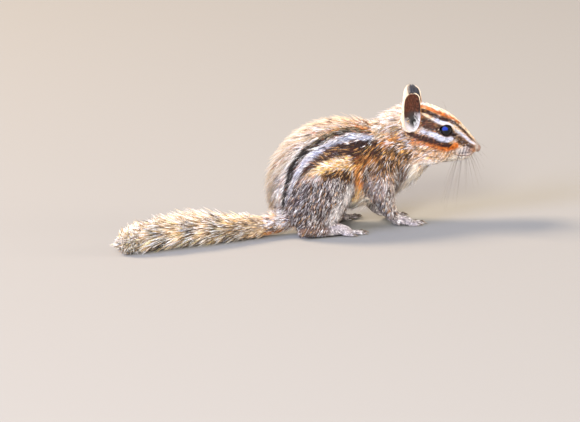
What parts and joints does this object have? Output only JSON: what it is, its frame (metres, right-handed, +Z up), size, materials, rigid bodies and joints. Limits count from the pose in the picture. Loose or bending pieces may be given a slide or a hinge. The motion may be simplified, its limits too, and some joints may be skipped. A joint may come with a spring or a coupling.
{
  "type": "chipmunk",
  "caption": "Life-size still model of a crouching chipmunk with its head slightly turned and its bushy tail laid straight back along the floor, for display on a flat surface.",
  "frame": {"origin": "on the floor under the middle of the bounding box", "axes": "+X the way the trunk faces, +Z up, +Y to the animal's left"},
  "size_m": [0.171, 0.046, 0.0616],
  "materials": {
    "coat_tawny": "short striped fur, tawny with dark and cream stripes",
    "coat_grey": "grizzled grey-brown fur",
    "coat_cream": "long cream and tan tail hair with dark bands",
    "skin_ear": "thin, finely haired ear skin",
    "eye_wet": "wet, almost black eye",
    "foot_buff": "pale buff, short-haired feet with horn claws"
  },
  "bodies": {
    "root": {"head": "coat_tawny", "neck": "coat_tawny", "torso": "coat_tawny", "thigh_left": "coat_grey", "thigh_right": "coat_grey", "foreleg_left": "coat_grey", "foreleg_right": "coat_grey", "forepaw_left": "foot_buff", "forepaw_right": "foot_buff", "hind_foot_left": "foot_buff", "hind_foot_right": "foot_buff", "tail_base": "coat_grey", "tail_brush": "coat_cream", "ear_left": "skin_ear", "ear_right": "skin_ear", "eye_left": "eye_wet", "eye_right": "eye_wet"}
  },
  "joints": []
}
